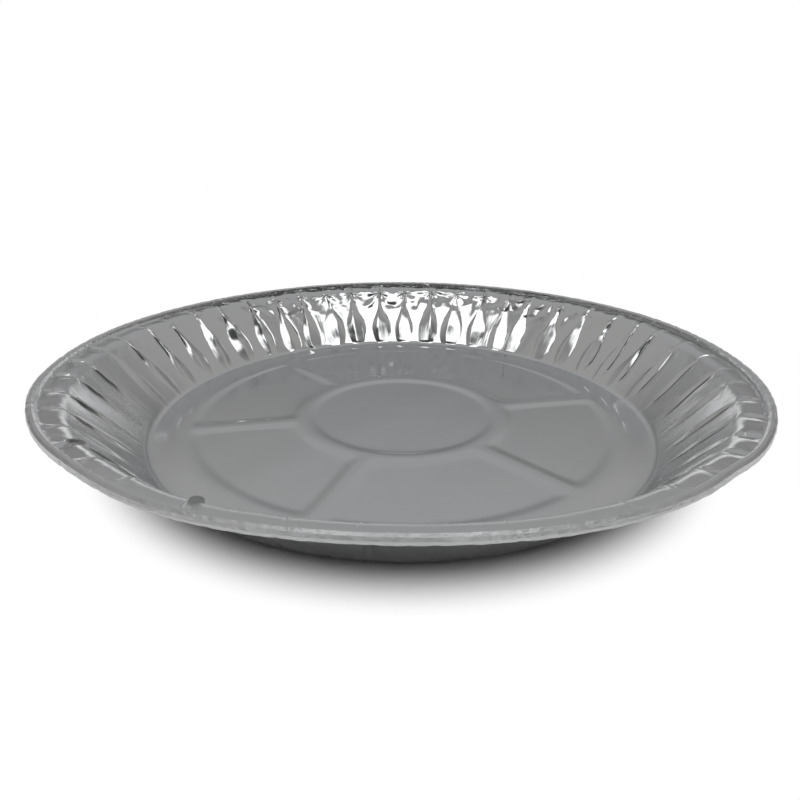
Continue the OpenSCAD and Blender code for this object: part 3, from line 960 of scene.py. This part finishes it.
def add_softbox(studio):
    """Softbox over the front of the tin, brightest in the middle as its cloth is."""
    bpy.ops.object.light_add(type="AREA", location=(0, -studio.box_forward, studio.box_height))
    softbox = bpy.context.object
    softbox.name = "softbox"
    lamp = softbox.data
    lamp.shape = "RECTANGLE"
    lamp.size = studio.box_width
    lamp.size_y = studio.box_depth
    lamp.energy = studio.box_light * math.pi * studio.box_width * studio.box_depth
    lamp.use_nodes = True
    tree = lamp.node_tree
    tree.nodes.clear()
    spot = add_node(tree, "ShaderNodeNewGeometry").outputs["Parametric"]
    centred = add_node(tree, "ShaderNodeMapping", inputs={
        "Vector": spot, "Location": (-1, -1, 0), "Scale": (2, 2, 0)})
    sides = add_node(tree, "ShaderNodeSeparateXYZ", inputs={"Vector": centred.outputs["Vector"]})
    falls = []
    for axis, edge in (("X", 0.7), ("Y", 0.55)):
        off = add_node(tree, "ShaderNodeMath", {"operation": "ABSOLUTE"}, {0: sides.outputs[axis]})
        falls.append(add_node(tree, "ShaderNodeMapRange", SMOOTH, {
            "Value": off.outputs[0], "From Min": edge, "From Max": 1.0, "To Min": 1.0, "To Max": 0.12}))
    fall = add_node(tree, "ShaderNodeMath", {"operation": "MULTIPLY"}, {
        0: falls[0].outputs["Result"], 1: falls[1].outputs["Result"]})
    glow = add_node(tree, "ShaderNodeEmission", inputs={"Strength": fall.outputs[0]})
    add_node(tree, "ShaderNodeOutputLight", inputs={"Surface": glow.outputs["Emission"]})


def add_overhead_fill(studio):
    """Wide light from straight above, which the foil doesn't mirror."""
    bpy.ops.object.light_add(type="AREA", location=(0, 0, FILL_HEIGHT))
    fill = bpy.context.object
    fill.name = "overhead_fill"
    fill.data.size = FILL_SIDE
    fill.data.energy = studio.fill_light * math.pi * FILL_SIDE ** 2
    fill.visible_glossy = False


def add_surroundings(studio):
    """Grey studio: darker low down and darkest behind the camera, cool ahead and warm beside."""
    world = bpy.data.worlds.new("studio")
    world.use_nodes = True
    tree = world.node_tree
    tree.nodes.clear()
    way = add_node(tree, "ShaderNodeTexCoord").outputs["Generated"]
    parts = add_node(tree, "ShaderNodeSeparateXYZ", inputs={"Vector": way})
    upward = add_node(tree, "ShaderNodeMapRange", inputs={
        "Value": parts.outputs["Z"], "From Min": 0.2, "From Max": 0.52,
        "To Min": 0.4 * studio.surround, "To Max": studio.surround})
    front = add_node(tree, "ShaderNodeMapRange", inputs={
        "Value": parts.outputs["Z"], "From Min": 0.1, "From Max": 0.6, "To Min": 0.38, "To Max": 0.15})
    level = add_node(tree, "ShaderNodeMapRange", inputs={
        "Value": parts.outputs["Y"], "From Min": -0.55, "From Max": 0.05,
        "To Min": front.outputs["Result"], "To Max": 1.0})
    both = add_node(tree, "ShaderNodeMath", {"operation": "MULTIPLY"}, {
        0: upward.outputs["Result"], 1: level.outputs["Result"]})
    beside = add_node(tree, "ShaderNodeMath", {"operation": "ABSOLUTE"}, {0: parts.outputs["X"]})
    tint = add_node(tree, "ShaderNodeMix", {"data_type": "RGBA"}, {
        "Factor": beside.outputs[0], "A": linear_colour(AHEAD), "B": linear_colour(BESIDE)})
    grey = add_node(tree, "ShaderNodeBackground", inputs={
        "Color": tint.outputs["Result"], "Strength": both.outputs[0]})
    add_node(tree, "ShaderNodeOutputWorld", inputs={"Surface": grey.outputs["Background"]})
    return world


def add_camera(scene, studio):
    """Camera at the photograph's place and angle."""
    data = bpy.data.cameras.new("camera")
    camera = bpy.data.objects.new("camera", data)
    scene.collection.objects.link(camera)
    data.sensor_width = 36
    data.lens = FOCAL_PX / FRAME_PX * data.sensor_width
    data.shift_x = SHIFT_PX / FRAME_PX
    data.clip_start = 0.01
    data.clip_end = 20
    down = Matrix.Rotation(math.pi / 2 - studio.camera_turn, 4, "X")
    roll = Matrix.Rotation(CAMERA_ROLL, 4, "Z")
    camera.matrix_world = Matrix.Translation(Vector(CAMERA_AT)) @ down @ roll
    return camera


class PIETIN_OT_set_stage(bpy.types.Operator):
    """Lay the floor and its cove, hang the softbox, set the surroundings and place the camera"""
    bl_idname = "pietin.set_stage"
    bl_label = "Set the stage"
    bl_options = {"REGISTER", "UNDO"}

    def execute(self, context):
        scene = context.scene
        studio = scene.studio_sizes
        add_cove(scene.foil_finish)
        add_softbox(studio)
        add_overhead_fill(studio)
        scene.world = add_surroundings(studio)
        scene.camera = add_camera(scene, studio)
        scene.view_settings.view_transform = "Standard"
        return {"FINISHED"}


class PIETIN_PT_panel(bpy.types.Panel):
    bl_idname = "PIETIN_PT_panel"
    bl_label = "Pie Tin"
    bl_space_type = "VIEW_3D"
    bl_region_type = "UI"
    bl_category = "Pie Tin"

    def draw(self, context):
        for name in GROUPS:
            group = getattr(context.scene, name)
            box = self.layout.box()
            for size in group.__annotations__:
                box.prop(group, size)
        self.layout.operator(PIETIN_OT_press_tin.bl_idname)
        self.layout.operator(PIETIN_OT_set_stage.bl_idname)


GROUPS = {
    "tin_sizes": TinSizes,
    "fold_sizes": FoldSizes,
    "foil_finish": FoilFinish,
    "studio_sizes": StudioSizes,
}
CLASSES = (*GROUPS.values(), PIETIN_OT_press_tin, PIETIN_OT_set_stage, PIETIN_PT_panel)


def register():
    for item in CLASSES:
        bpy.utils.register_class(item)
    for name, group in GROUPS.items():
        setattr(bpy.types.Scene, name, bpy.props.PointerProperty(type=group))


def unregister():
    for name in GROUPS:
        delattr(bpy.types.Scene, name)
    for item in reversed(CLASSES):
        bpy.utils.unregister_class(item)


def main():
    register()
    bpy.ops.pietin.press_tin()
    bpy.ops.pietin.set_stage()


if __name__ == "__main__":
    main()
